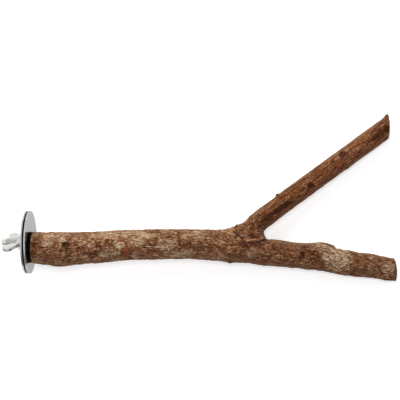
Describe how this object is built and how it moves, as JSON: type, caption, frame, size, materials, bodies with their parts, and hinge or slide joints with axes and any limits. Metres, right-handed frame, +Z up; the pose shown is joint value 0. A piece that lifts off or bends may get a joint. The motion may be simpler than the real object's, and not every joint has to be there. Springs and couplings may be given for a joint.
{
  "type": "bird perch",
  "caption": "Forked bark-covered branch perch that clamps to a cage wall between large washers with a hanger bolt and a wing nut.",
  "frame": {"origin": "on the bolt's axis, at the inner washer's face that the cage wall seats against", "axes": "+X along the bolt into the branch, +Y towards the side branch, +Z up with the fork level"},
  "size_m": [0.2529, 0.1091, 0.04],
  "materials": {
    "bark": "rough natural bark, red-brown with grey patches",
    "zinc_steel": "bright zinc plate",
    "polished_steel": "smooth bright steel",
    "black_rubber": "matt black"
  },
  "bodies": {
    "perch": {"branch": "bark", "hanger_bolt": "zinc_steel", "rubber_pad": "black_rubber", "inner_washer": "polished_steel"},
    "outer_washer": {"outer_washer": "polished_steel"},
    "wing_nut": {"wing_nut": "zinc_steel"}
  },
  "joints": [
    {"name": "washer_slide", "type": "slide", "parent": "perch", "child": "outer_washer", "axis": [-1, 0, 0], "range_m": [-0.00095, 0.01]},
    {"name": "wing_nut_turn", "type": "hinge", "parent": "outer_washer", "child": "wing_nut", "pos_m": [-0.002, 0, 0], "axis": [-1, 0, 0], "range_deg": [-342, 3600]}
  ],
  "couplings": [
    {"joint": "washer_slide", "follows": "wing_nut_turn", "m_per_rad": 0.00015915}
  ]
}
